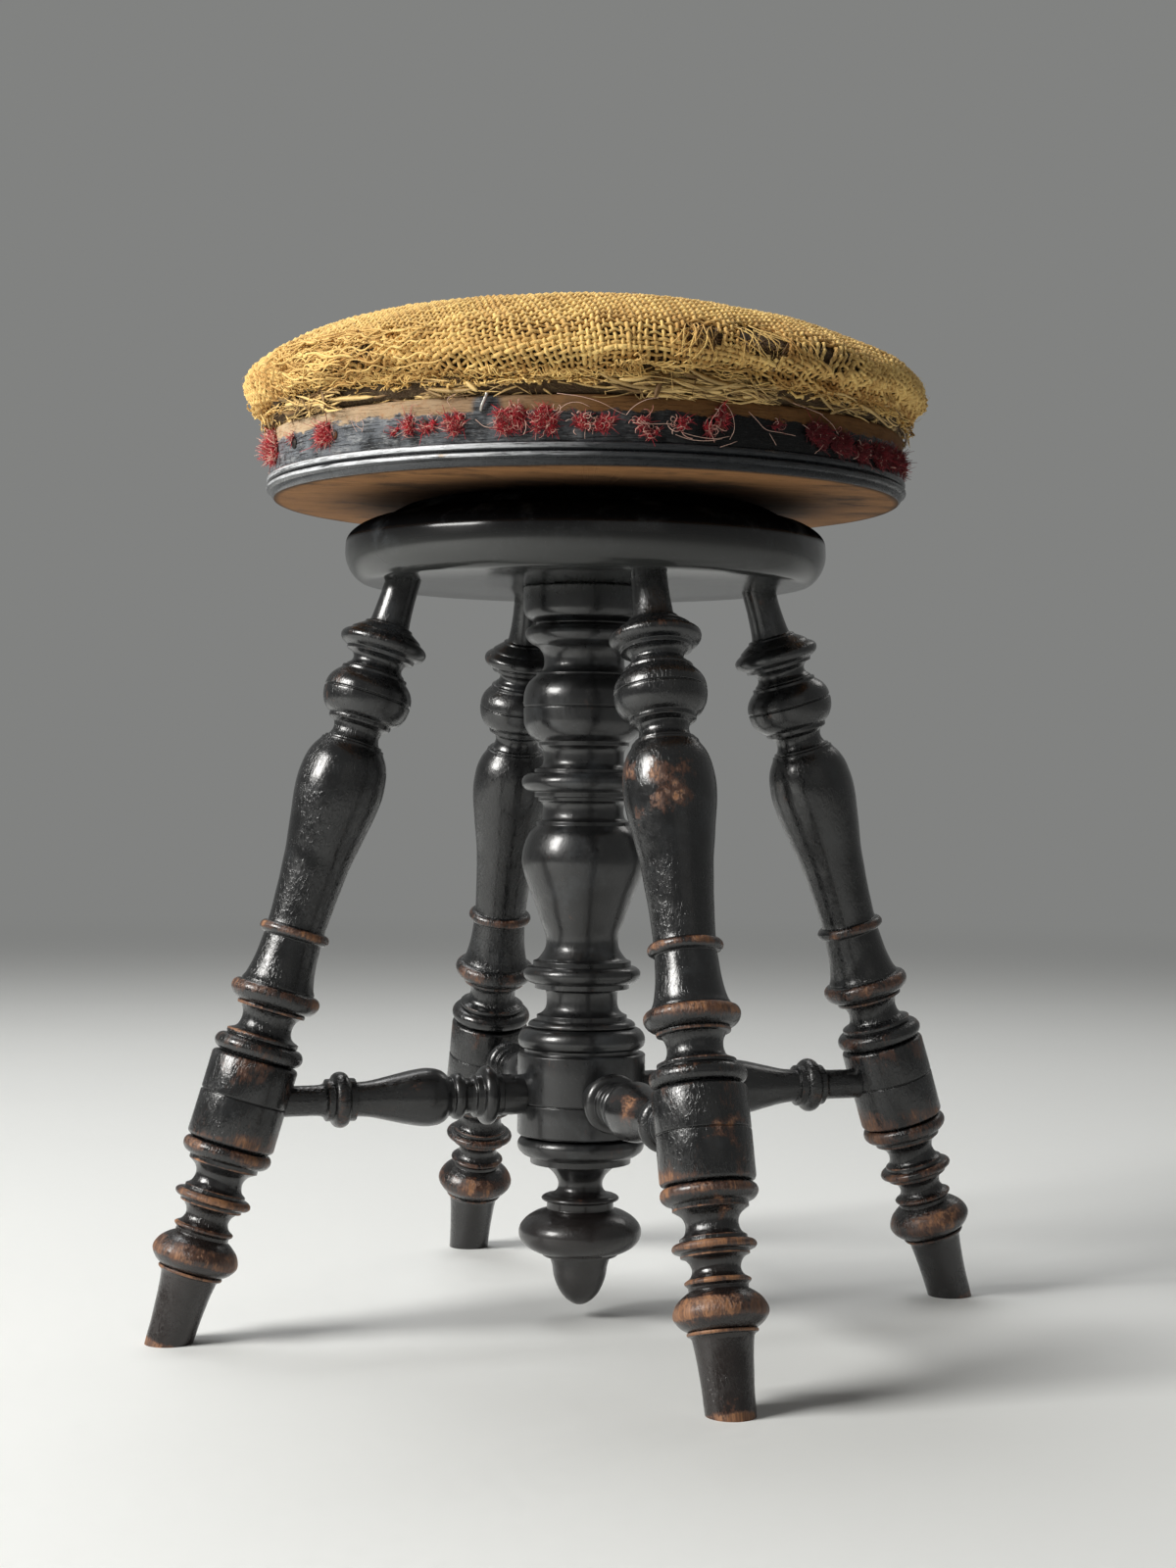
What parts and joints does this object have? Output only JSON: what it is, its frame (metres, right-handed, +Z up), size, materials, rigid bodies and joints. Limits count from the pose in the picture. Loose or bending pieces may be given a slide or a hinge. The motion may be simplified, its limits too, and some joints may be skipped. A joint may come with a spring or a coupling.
{
  "type": "revolving piano stool",
  "caption": "Round hay-stuffed seat on an iron screw in a turned column, with splayed turned legs tied to the column by turned stretchers.",
  "frame": {"origin": "on the floor, on the axis of the column and of the seat's screw", "axes": "+Z up, along the screw; the four legs stand along +X, +Y, -X and -Y, and -Y carries the leg that is nearest in the picture"},
  "size_m": [0.4502, 0.4502, 0.5205],
  "materials": {
    "ebonised_wood": "black-stained and polished, semi-gloss, worn to brown on the turned edges",
    "seat_wood": "blackened and faded on the band, raw brown wood underneath and at the top edge",
    "dark_iron": "dark, slightly rusty casting",
    "bare_steel": "dull, aged bare steel",
    "hay": "dry matted hay and straw",
    "hessian": "coarse plain-woven jute, golden brown, frayed"
  },
  "bodies": {
    "stand": {"platform": "ebonised_wood", "column": "ebonised_wood", "drop_finial": "ebonised_wood", "leg_right": "ebonised_wood", "leg_back": "ebonised_wood", "leg_left": "ebonised_wood", "leg_front": "ebonised_wood", "stretcher_right": "ebonised_wood", "stretcher_back": "ebonised_wood", "stretcher_left": "ebonised_wood", "stretcher_front": "ebonised_wood", "screw_nut": "dark_iron", "nut_screw_1": "bare_steel", "nut_screw_2": "bare_steel", "nut_screw_3": "bare_steel", "nut_screw_4": "bare_steel"},
    "screw_stop": {"stop_washer": "dark_iron"},
    "seat": {"spindle": "bare_steel", "spindle_pin": "bare_steel", "stop_screw": "bare_steel", "seat_flange": "dark_iron", "flange_screw_1": "bare_steel", "flange_screw_2": "bare_steel", "flange_screw_3": "bare_steel", "flange_screw_4": "bare_steel", "seat_board": "seat_wood", "cover_tack_1": "bare_steel", "cover_tack_2": "bare_steel", "cover_tack_3": "bare_steel", "cover_tack_4": "bare_steel", "cover_tack_5": "bare_steel", "cover_tack_6": "bare_steel", "cover_tack_7": "bare_steel", "cover_tack_8": "bare_steel", "cover_tack_9": "bare_steel", "cover_tack_10": "bare_steel", "cover_tack_11": "bare_steel", "hay_stuffing": "hay", "hessian_cover": "hessian"}
  },
  "joints": [
    {"name": "seat_rise", "type": "slide", "parent": "stand", "child": "screw_stop", "axis": [0, 0, 1], "range_m": [-0.0018, 0.1018]},
    {"name": "seat_turn", "type": "hinge", "parent": "screw_stop", "child": "seat", "pos_m": [0, 0, 0.42], "axis": [0, 0, 1], "range_deg": [-72, 4320]}
  ],
  "couplings": [
    {"joint": "seat_rise", "follows": "seat_turn", "m_per_rad": 0.0013475}
  ]
}
